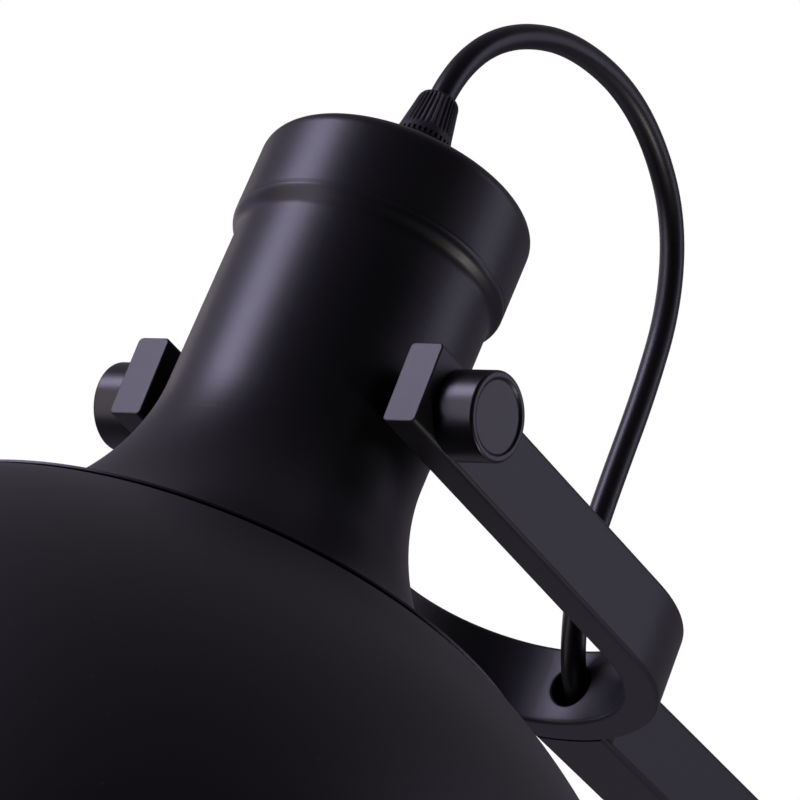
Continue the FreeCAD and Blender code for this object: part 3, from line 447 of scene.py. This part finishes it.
def yoke_stations():
    """Stations along the bar's middle line, and where each hole's patch starts among them.

    A station is (kind, value), the value a height on a leg or an angle in the bend.
    """
    leg = [LEG_END - END_EASE, HALF_PATCH + 1.2]
    leg += [HALF_PATCH - 2.0 * HALF_PATCH * i / SIDE_STEPS for i in range(SIDE_STEPS + 1)]
    leg += [-HALF_PATCH - (LEG_LENGTH - HALF_PATCH) * i / LEG_STEPS for i in range(1, LEG_STEPS + 1)]
    low = math.degrees(math.asin((FLEX_HOLE_ASIDE - HALF_PATCH) / YOKE_MIDDLE))
    high = math.degrees(math.asin((FLEX_HOLE_ASIDE + HALF_PATCH) / YOKE_MIDDLE))
    patch = [high - (high - low) * i / SIDE_STEPS for i in range(SIDE_STEPS + 1)]
    before = [90.0 - (90.0 - high) * i / BEND_STEPS for i in range(1, BEND_STEPS)]
    after = [low - (90.0 + low) * i / BEND_STEPS for i in range(1, BEND_STEPS)]
    right = [("right", z) for z in leg]
    left = [("left", z) for z in reversed(leg)]
    starts = {"right": 2, "bend": len(right) + len(before)}
    starts["left"] = len(right) + len(before + patch + after) + len(left) - 3 - SIDE_STEPS
    return right + [("bend", a) for a in before + patch + after] + left, starts


def bar_point(station, width, thick):
    """Point of the bar in the yoke's frame, thickness measured outwards from its middle line."""
    kind, value = station
    reach = YOKE_MIDDLE + thick
    if kind == "right":
        return Vector((reach, width, value))
    if kind == "left":
        return Vector((-reach, width, value))
    angle = math.radians(value)
    return Vector((reach * math.sin(angle), width, -LEG_LENGTH - reach * math.cos(angle)))


def face_point(kind, side, along, across, depth):
    """Point on the bar's outer (1) or inner (-1) face, or a little below it, near a hole."""
    surface = YOKE_MIDDLE + side * BAR_THICK / 2.0
    if kind == "bend":
        return Vector((along, across, -LEG_LENGTH - math.sqrt(surface ** 2 - along ** 2) + side * depth))
    sign = 1.0 if kind == "right" else -1.0
    return Vector((sign * (surface - side * depth), across, along))


def hole_loops(edge, centre, radius):
    """Loops of (along, across, depth) from a patch's square edge in over a hole's eased mouth."""
    first, quarter = edge[0], edge[SIDE_STEPS]
    turn = math.atan2(math.copysign(1.0, first[1]), math.copysign(1.0, first[0] - centre))
    cross = (first[0] - centre) * quarter[1] - first[1] * (quarter[0] - centre)
    spin = math.copysign(math.tau / len(edge), cross)
    ring = [(math.cos(turn + spin * k), math.sin(turn + spin * k)) for k in range(len(edge))]
    mouth = radius + HOLE_EASE
    loops = []
    for share in (0.3, 0.6, 0.85, 1.0):
        loops.append([(x + (centre + mouth * c - x) * share, y + (mouth * s - y) * share, 0.0)
                      for (x, y), (c, s) in zip(edge, ring)])
    for step in range(1, 5):
        lean = math.radians(90.0 * step / 4)
        reach = radius + HOLE_EASE * (1.0 - math.sin(lean))
        depth = HOLE_EASE * (1.0 - math.cos(lean))
        loops.append([(centre + reach * c, reach * s, depth) for c, s in ring])
    return loops


def make_yoke():
    """Flat bar bent into a U, with eased edges, bored legs and the flex hole through its web."""
    stations, starts = yoke_stations()
    vertices = []
    rings = []
    faces = []

    def add_ring(station, inset):
        ring = []
        for width, thick in bar_section(inset, SIDE_STEPS):
            ring.append(len(vertices))
            vertices.append(bar_point(station, width, thick))
        rings.append(ring)

    turns = [math.radians(90.0 * i / 3) for i in range(3)]
    eases = [(LEG_END - END_EASE * (1.0 - math.cos(turn)), END_EASE * (1.0 - math.sin(turn)))
             for turn in turns]
    for height, inset in eases:
        add_ring(("right", height), inset)
    for station in stations:
        add_ring(station, 0.0)
    for height, inset in reversed(eases):
        add_ring(("left", height), inset)
    count = len(rings[0])
    half = count // 2
    holes = (("right", 0.0, PIVOT_BORE), ("bend", FLEX_HOLE_ASIDE, FLEX_HOLE), ("left", 0.0, PIVOT_BORE))
    starts = {kind: start + len(turns) for kind, start in starts.items()}
    columns = set(range(SIDE_STEPS)) | set(range(half, half + SIDE_STEPS))
    open_quads = {(start + i, k) for start in starts.values() for i in range(SIDE_STEPS) for k in columns}
    for i, (ring, beyond) in enumerate(zip(rings, rings[1:])):
        for k in range(count):
            if (i, k) not in open_quads:
                faces.append([ring[k], ring[(k + 1) % count], beyond[(k + 1) % count], beyond[k]])
    faces.append(list(rings[0]))
    faces.append(list(rings[-1]))

    for kind, centre, radius in holes:
        patch = rings[starts[kind]:starts[kind] + SIDE_STEPS + 1]
        mouths = []
        for side, base in ((1, 0), (-1, half)):
            row = [base + k for k in range(SIDE_STEPS + 1)]
            if side < 0:
                row.reverse()
            edge = [patch[0][k] for k in row[:-1]]
            edge += [patch[i][row[-1]] for i in range(SIDE_STEPS)]
            edge += [patch[-1][k] for k in reversed(row[1:])]
            edge += [patch[i][row[0]] for i in range(SIDE_STEPS, 0, -1)]
            flat = [(vertices[v].x if kind == "bend" else vertices[v].z, vertices[v].y) for v in edge]
            loops = [edge]
            for loop in hole_loops(flat, centre, radius):
                loops.append(list(range(len(vertices), len(vertices) + len(loop))))
                vertices.extend(face_point(kind, side, *spot) for spot in loop)
            for loop, beyond in zip(loops, loops[1:]):
                for k in range(len(loop)):
                    j = (k + 1) % len(loop)
                    faces.append([loop[k], loop[j], beyond[j], beyond[k]])
            mouths.append(loops[-1])
        outer, inner = mouths
        for k in range(len(outer)):
            j = (k + 1) % len(outer)
            faces.append([outer[k], outer[j], inner[j], inner[k]])

    piece = finish_mesh("yoke_bar", [YOKE @ (v * MM) for v in vertices], faces)
    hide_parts("yoke")
    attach(piece, "stand")
    return piece


pieces = {
    "flex": make_head_flex(),
    "neck": make_neck_housing(),
    "dome": make_dome_shade(),
    "knob_right": make_knob("right_knob", "knob_right", KNOB_RIGHT),
    "knob_left": make_knob("left_knob", "knob_left", KNOB_LEFT),
    "grip_nut": make_grip_nut(),
    "yoke": make_yoke(),
}

# ---------------------------------------------------------------- materials


class Finish:
    """A node material under construction: one principled shader and helpers to wire it."""

    def __init__(self, name, colour, roughness, **values):
        self.material = bpy.data.materials.new(name)
        self.material.use_nodes = True
        self.tree = self.material.node_tree
        self.tree.nodes.clear()
        self.shader = self.tree.nodes.new("ShaderNodeBsdfPrincipled")
        output = self.tree.nodes.new("ShaderNodeOutputMaterial")
        self.tree.links.new(self.shader.outputs["BSDF"], output.inputs["Surface"])
        self.shader.inputs["Base Color"].default_value = (*colour, 1.0)
        self.shader.inputs["Roughness"].default_value = roughness
        for socket, value in values.items():
            self.shader.inputs[socket.replace("_", " ")].default_value = value

    def add(self, kind, **settings):
        node = self.tree.nodes.new(kind)
        for key, value in settings.items():
            setattr(node, key, value)
        return node

    def use(self, group, **values):
        node = self.tree.nodes.new("ShaderNodeGroup")
        node.node_tree = group
        for socket, value in values.items():
            node.inputs[socket.replace("_", " ")].default_value = value
        return node

    def link(self, source, target):
        self.tree.links.new(source, target)

    def blend_colour(self, share, first, second):
        """Mix two colours by a mask into the base colour."""
        mix = self.add("ShaderNodeMix", data_type="RGBA")
        self.link(share, mix.inputs["Factor"])
        mix.inputs["A"].default_value = (*first, 1.0)
        mix.inputs["B"].default_value = (*second, 1.0)
        self.link(mix.outputs["Result"], self.shader.inputs["Base Color"])

    def bump(self, height, distance):
        node = self.add("ShaderNodeBump")
        node.inputs["Distance"].default_value = distance
        node.inputs["Strength"].default_value = 1.0
        self.link(height, node.inputs["Height"])
        self.link(node.outputs["Normal"], self.shader.inputs["Normal"])


def new_group(name, inputs, outputs):
    """Empty shader node group with number inputs and outputs."""
    group = bpy.data.node_groups.new(name, "ShaderNodeTree")
    for label, kind, value in inputs:
        socket = group.interface.new_socket(label, in_out="INPUT", socket_type=kind)
        socket.default_value = value
    for label in outputs:
        group.interface.new_socket(label, in_out="OUTPUT", socket_type="NodeSocketFloat")
    entry = group.nodes.new("NodeGroupInput")
    exit_node = group.nodes.new("NodeGroupOutput")
    return group, entry, exit_node


def join(group, source, target):
    group.links.new(source, target)


def maths(group, operation, first, second=None, clamp=False):
    """Math node whose operands are sockets or numbers."""
    node = group.nodes.new("ShaderNodeMath")
    node.operation = operation
    node.use_clamp = clamp
    for index, operand in enumerate((first, second)):
        if operand is None:
            continue
        if isinstance(operand, (int, float)):
            node.inputs[index].default_value = operand
        else:
            join(group, operand, node.inputs[index])
    return node.outputs["Value"]


def noise(group, scale, detail, roughness=0.5):
    """3D noise over the object's own coordinates; scale is a number or a socket."""
    node = group.nodes.new("ShaderNodeTexNoise")
    if isinstance(scale, (int, float)):
        node.inputs["Scale"].default_value = scale
    else:
        join(group, scale, node.inputs["Scale"])
    node.inputs["Detail"].default_value = detail
    node.inputs["Roughness"].default_value = roughness
    join(group, group.nodes.new("ShaderNodeTexCoord").outputs["Object"], node.inputs["Vector"])
    return node.outputs["Fac"]


def powder_group():
    """Fine orange-peel of a powder coat: its height, and a slow drift of gloss."""
    group, entry, out = new_group(
        "powder_coat",
        [("Grain", "NodeSocketFloat", 900.0), ("Base", "NodeSocketFloat", 0.45),
         ("Drift", "NodeSocketFloat", 0.04)],
        ["Height", "Roughness", "Tone"])
    fine = noise(group, entry.outputs["Grain"], 3.0, 0.6)
    slow = noise(group, 14.0, 3.0)
    drift = maths(group, "MULTIPLY", maths(group, "SUBTRACT", slow, 0.5), entry.outputs["Drift"])
    grainy = maths(group, "MULTIPLY", maths(group, "SUBTRACT", fine, 0.5), entry.outputs["Drift"])
    rough = maths(group, "ADD", maths(group, "ADD", entry.outputs["Base"], drift), grainy, clamp=True)
    join(group, fine, out.inputs["Height"])
    join(group, rough, out.inputs["Roughness"])
    join(group, slow, out.inputs["Tone"])
    return group


SPECK_SIZE = 0.10       # of a dust cell's own size
SPECK_GREY = (0.05, 0.048, 0.05)


def dust_group():
    """Sparse specks of dust that settle on a matte surface."""
    group, entry, out = new_group(
        "dust", [("Scale", "NodeSocketFloat", 420.0), ("Amount", "NodeSocketFloat", 0.06)], ["Mask"])
    cells = group.nodes.new("ShaderNodeTexVoronoi")
    join(group, entry.outputs["Scale"], cells.inputs["Scale"])
    join(group, group.nodes.new("ShaderNodeTexCoord").outputs["Object"], cells.inputs["Vector"])
    near = maths(group, "LESS_THAN", cells.outputs["Distance"], SPECK_SIZE)
    pick = group.nodes.new("ShaderNodeSeparateColor")
    join(group, cells.outputs["Color"], pick.inputs["Color"])
    chosen = maths(group, "LESS_THAN", pick.outputs["Red"], entry.outputs["Amount"])
    join(group, maths(group, "MULTIPLY", near, chosen), out.inputs["Mask"])
    return group


def spun_group():
    """Faint rings left by spinning or turning, about an axis through a centre."""
    group, entry, out = new_group(
        "spun_rings",
        [("Axis", "NodeSocketVector", (0.0, 0.0, 1.0)), ("Rings", "NodeSocketFloat", 500.0)], ["Height"])
    along = group.nodes.new("ShaderNodeVectorMath")
    along.operation = "DOT_PRODUCT"
    join(group, group.nodes.new("ShaderNodeTexCoord").outputs["Object"], along.inputs[0])
    join(group, entry.outputs["Axis"], along.inputs[1])
    lines = group.nodes.new("ShaderNodeTexNoise")
    lines.noise_dimensions = "1D"
    lines.inputs["Detail"].default_value = 3.0
    join(group, maths(group, "MULTIPLY", along.outputs["Value"], entry.outputs["Rings"]), lines.inputs["W"])
    lines.inputs["Scale"].default_value = 1.0
    join(group, lines.outputs["Fac"], out.inputs["Height"])
    return group


POWDER = powder_group()
DUST = dust_group()
SPUN = spun_group()
HEAD_AXIS = tuple((HEAD.to_3x3() @ Vector((0.0, 0.0, 1.0))))
SPUN_RINGS = 420.0      # soft marks of spinning, to the metre
TURNED_RINGS = 2400.0   # marks of a lathe tool, to the metre


def paint(name, colour, roughness, grain=900.0, peel=0.00002, dust=0.0, rings=None, spin=0.5):
    """Powder coat with fine peel, slow gloss drift, and dust or spun rings where they show."""
    finish = Finish(name, colour, roughness)
    coat = finish.use(POWDER, Grain=grain, Base=roughness, Drift=0.05)
    finish.link(coat.outputs["Roughness"], finish.shader.inputs["Roughness"])
    lighter = tuple(c * 1.12 for c in colour)
    height = coat.outputs["Height"]
    if rings:
        spun = finish.use(SPUN, Axis=rings, Rings=SPUN_RINGS)
        total = finish.add("ShaderNodeMath", operation="MULTIPLY_ADD")
        finish.link(spun.outputs["Height"], total.inputs[0])
        total.inputs[1].default_value = spin
        finish.link(height, total.inputs[2])
        height = total.outputs["Value"]
    finish.bump(height, peel)
    finish.blend_colour(coat.outputs["Tone"], colour, lighter)
    if dust:
        specks = finish.use(DUST, Amount=dust)
        base = finish.shader.inputs["Base Color"].links[0].from_socket
        mix = finish.add("ShaderNodeMix", data_type="RGBA")
        finish.link(specks.outputs["Mask"], mix.inputs["Factor"])
        finish.link(base, mix.inputs["A"])
        mix.inputs["B"].default_value = (*SPECK_GREY, 1.0)
        finish.link(mix.outputs["Result"], finish.shader.inputs["Base Color"])
    return finish.material


def cast(name, colour, roughness, grain, depth):
    """Rough cast or foamed stock: pits and lumps over an even colour."""
    finish = Finish(name, colour, roughness)
    coat = finish.use(POWDER, Grain=grain, Base=roughness, Drift=0.16)
    finish.link(coat.outputs["Roughness"], finish.shader.inputs["Roughness"])
    finish.bump(coat.outputs["Height"], depth)
    darker = tuple(c * 0.8 for c in colour)
    lighter = tuple(c * 1.25 for c in colour)
    finish.blend_colour(coat.outputs["Tone"], darker, lighter)
    return finish.material


def metal(name, colour, roughness, rings=(0.0, 0.0, 1.0)):
    """Bare or plated metal with fine turning marks and uneven gloss."""
    finish = Finish(name, colour, roughness, Metallic=1.0)
    coat = finish.use(POWDER, Grain=300.0, Base=roughness, Drift=0.18)
    finish.link(coat.outputs["Roughness"], finish.shader.inputs["Roughness"])
    spun = finish.use(SPUN, Axis=rings, Rings=TURNED_RINGS)
    finish.bump(spun.outputs["Height"], 0.00001)
    finish.blend_colour(coat.outputs["Tone"], tuple(c * 0.86 for c in colour), colour)
    return finish.material


def opal(name):
    """Opal glass: bright white body with soft scatter under a glossy skin."""
    gloss = 0.12
    finish = Finish(name, (0.90, 0.90, 0.88), gloss,
                    Subsurface_Weight=0.4, Subsurface_Scale=0.004, Coat_Weight=0.3)
    coat = finish.use(POWDER, Grain=60.0, Base=gloss, Drift=0.05)
    finish.link(coat.outputs["Roughness"], finish.shader.inputs["Roughness"])
    finish.blend_colour(coat.outputs["Tone"], (0.88, 0.88, 0.86), (0.92, 0.92, 0.90))
    return finish.material


BLACK = (0.0070, 0.0064, 0.0076)
PIVOT_AXIS = (1.0, 0.0, 0.0)
steel_black = paint("bar_satin_black", (0.0100, 0.0090, 0.0105), 0.43)
shade_white = paint("shade_inside_white", (0.78, 0.78, 0.76), 0.4, grain=700.0)
materials = {
    "housing_paint": paint("neck_satin_black", BLACK, 0.40, rings=HEAD_AXIS, spin=1.6),
    "shade_paint": paint("dome_matte_black", (0.0100, 0.0088, 0.0090), 0.47, dust=0.05, rings=HEAD_AXIS),
    "yoke_paint": steel_black,
    "arm_paint": paint("arm_satin_black", (0.0110, 0.0098, 0.0110), 0.45),
    "knob_paint": paint("knob_black", (0.0080, 0.0070, 0.0080), 0.34, rings=PIVOT_AXIS),
    "grip_nylon": paint("grip_nylon_black", (0.020, 0.018, 0.020), 0.5, grain=1600.0, peel=0.00003),
    "spacer_nylon": paint("spacer_nylon_black", (0.025, 0.024, 0.025), 0.55, grain=1200.0),
    "flex_pvc": paint("flex_black", (0.0050, 0.0045, 0.0050), 0.38, grain=500.0, peel=0.00001),
    "base_cover_paint": paint("cover_matte_black", (0.0150, 0.0140, 0.0155), 0.50, dust=0.04),
    "holder_plastic": paint("holder_phenolic", (0.020, 0.016, 0.015), 0.30, grain=120.0, peel=0.00001),
    "screw_black": metal("black_oxide", (0.045, 0.044, 0.048), 0.42),
    "cast_iron": cast("grey_casting", (0.060, 0.060, 0.064), 0.65, 420.0, 0.0004),
    "foam_mat": cast("foam_black", (0.022, 0.022, 0.022), 0.9, 900.0, 0.0003),
    "black_rubber": cast("rubber_black", (0.016, 0.016, 0.016), 0.7, 700.0, 0.00005),
    "terminal_nylon": paint("terminal_natural", (0.66, 0.63, 0.55), 0.45, grain=300.0),
    "brass": metal("brass_turned", (0.72, 0.52, 0.22), 0.28, HEAD_AXIS),
    "zinc_steel": metal("zinc_bright", (0.60, 0.61, 0.64), 0.32),
    "bulb_metal": metal("bulb_plating", (0.74, 0.74, 0.76), 0.24, HEAD_AXIS),
    "opal_glass": opal("bulb_opal"),
}


def coat_piece(piece, *finishes):
    piece.data.materials.clear()
    for finish in finishes:
        piece.data.materials.append(finish)


def paint_inside(piece):
    """Give the second material to the faces inside the shade."""
    to_head = HEAD.inverted()
    middle = Vector((0.0, 0.0, DOME_CENTRE))
    for face in piece.data.polygons:
        spot = (to_head @ face.center) / MM
        within = (spot - middle).length < DOME_RADIUS - SHEET / 2.0
        face.material_index = 1 if within and DOME_CENTRE < spot.z < CROWN - SHEET / 2.0 else 0


coat_piece(pieces["neck"], materials["housing_paint"])
coat_piece(pieces["dome"], materials["shade_paint"], shade_white)
paint_inside(pieces["dome"])
coat_piece(pieces["yoke"], steel_black)
coat_piece(pieces["knob_right"], materials["knob_paint"])
coat_piece(pieces["knob_left"], materials["knob_paint"])
coat_piece(pieces["grip_nut"], materials["grip_nylon"])
coat_piece(pieces["flex"], materials["flex_pvc"])

SLOTS = {part["node"]: part["material_slot"] for part in frame["record"]["subparts"]}
for name, node in frame["nodes"].items():
    for slot in node.material_slots:
        slot.material = materials[SLOTS[name]]

# ---------------------------------------------------------------- stage and lights


FLOOR_RADIUS = 6.0
FLOOR_GAP = 0.0002
FLOOR_LIFT = 0.55       # added where the camera sees the floor itself, so that it stays pale


def make_floor():
    """Plain pale floor, a wide disc just below the lamp's foot."""
    work = bmesh.new()
    bmesh.ops.create_circle(work, cap_ends=True, segments=96, radius=FLOOR_RADIUS)
    mesh = bpy.data.meshes.new("floor")
    work.to_mesh(mesh)
    work.free()
    floor = bpy.data.objects.new("floor", mesh)
    bpy.context.scene.collection.objects.link(floor)
    floor.location.z = cad_low.z - FLOOR_GAP
    pale = Finish("pale_floor", (0.86, 0.86, 0.86), 0.85)
    mottle = pale.add("ShaderNodeTexNoise")
    mottle.inputs["Scale"].default_value = 3.0
    pale.blend_colour(mottle.outputs["Fac"], (0.85, 0.85, 0.85), (0.87, 0.87, 0.87))
    seen = pale.add("ShaderNodeLightPath")
    lift = pale.add("ShaderNodeMath", operation="MULTIPLY")
    pale.link(seen.outputs["Is Camera Ray"], lift.inputs[0])
    lift.inputs[1].default_value = FLOOR_LIFT
    pale.shader.inputs["Emission Color"].default_value = (1.0, 1.0, 1.0, 1.0)
    pale.link(lift.outputs["Value"], pale.shader.inputs["Emission Strength"])
    floor.data.materials.append(pale.material)


# Soft boxes aimed at the head: degrees round from the camera (positive to its right), degrees up,
# distance, width and height in metres, watts and colour.
SOFT_BOXES = (
    ("left_box", -62, 8, 1.6, 0.35, 1.6, 8.4, (0.78, 0.72, 1.0)),
    ("left_fill", -82, 8, 1.6, 0.35, 1.6, 3.4, (1.0, 0.86, 0.80)),
    ("left_rim", -120, 8, 1.6, 0.5, 1.6, 3.1, (0.64, 0.62, 1.0)),
    ("high_box", -94, 50, 1.6, 0.7, 0.6, 12.0, (0.76, 0.70, 1.0)),
    ("right_box", 100, 5, 1.6, 0.5, 1.4, 4.2, (0.78, 0.73, 1.0)),
    ("right_fill", 75, 5, 1.6, 0.5, 1.4, 0.3, (1.0, 0.84, 1.0)),
    ("right_spot", 60, -42, 1.5, 0.22, 0.22, 4.0, (1.0, 0.95, 0.90)),
    ("back_spot", -150, 5, 1.6, 0.4, 0.8, 1.0, (1.0, 0.88, 0.90)),
)
SURROUND_BEHIND = 0.24
SURROUND_ABOVE = 0.068
SURROUND_TINT = (0.90, 0.80, 1.0)


def soft_box(name, azimuth, elevation, distance, width, height, power, colour):
    back, right, up = view_axes()
    turn, lift = math.radians(azimuth), math.radians(elevation)
    way = (back * math.cos(turn) + right * math.sin(turn)) * math.cos(lift) + up * math.sin(lift)
    data = bpy.data.lights.new(name, "AREA")
    data.shape = "RECTANGLE"
    data.size = width
    data.size_y = height
    data.energy = power
    data.color = colour
    light = bpy.data.objects.new(name, data)
    bpy.context.scene.collection.objects.link(light)
    light.location = PIVOT + way * distance
    light.rotation_mode = "QUATERNION"
    light.rotation_quaternion = way.to_track_quat("Z", "Y")
    light.visible_camera = False


def surround(tree):
    """Soft surround: bright behind the lamp, a little light from above and dark on the camera's side."""
    back, right, up = view_axes()
    direction = tree.nodes.new("ShaderNodeTexCoord").outputs["Generated"]
    total = None
    for axis, amount in ((-back, SURROUND_BEHIND), (up, SURROUND_ABOVE)):
        share = tree.nodes.new("ShaderNodeVectorMath")
        share.operation = "DOT_PRODUCT"
        share.inputs[1].default_value = axis
        tree.links.new(direction, share.inputs[0])
        lobe = maths(tree, "MULTIPLY", maths(tree, "MAXIMUM", share.outputs["Value"], 0.0), amount)
        total = lobe if total is None else maths(tree, "ADD", total, lobe)
    ambient = tree.nodes.new("ShaderNodeBackground")
    ambient.inputs["Color"].default_value = (*SURROUND_TINT, 1.0)
    tree.links.new(total, ambient.inputs["Strength"])
    return ambient


def light_studio():
    world = bpy.data.worlds.new("studio")
    bpy.context.scene.world = world
    world.use_nodes = True
    tree = world.node_tree
    tree.nodes.clear()
    out = tree.nodes.new("ShaderNodeOutputWorld")
    ambient = surround(tree)
    backdrop = tree.nodes.new("ShaderNodeBackground")
    backdrop.inputs["Color"].default_value = (1.0, 1.0, 1.0, 1.0)
    backdrop.inputs["Strength"].default_value = 1.0
    path = tree.nodes.new("ShaderNodeLightPath")
    mix = tree.nodes.new("ShaderNodeMixShader")
    tree.links.new(path.outputs["Is Camera Ray"], mix.inputs["Fac"])
    tree.links.new(ambient.outputs["Background"], mix.inputs[1])
    tree.links.new(backdrop.outputs["Background"], mix.inputs[2])
    tree.links.new(mix.outputs["Shader"], out.inputs["Surface"])
    for box in SOFT_BOXES:
        soft_box(*box)


make_floor()
light_studio()
bpy.context.scene.view_settings.view_transform = "Standard"
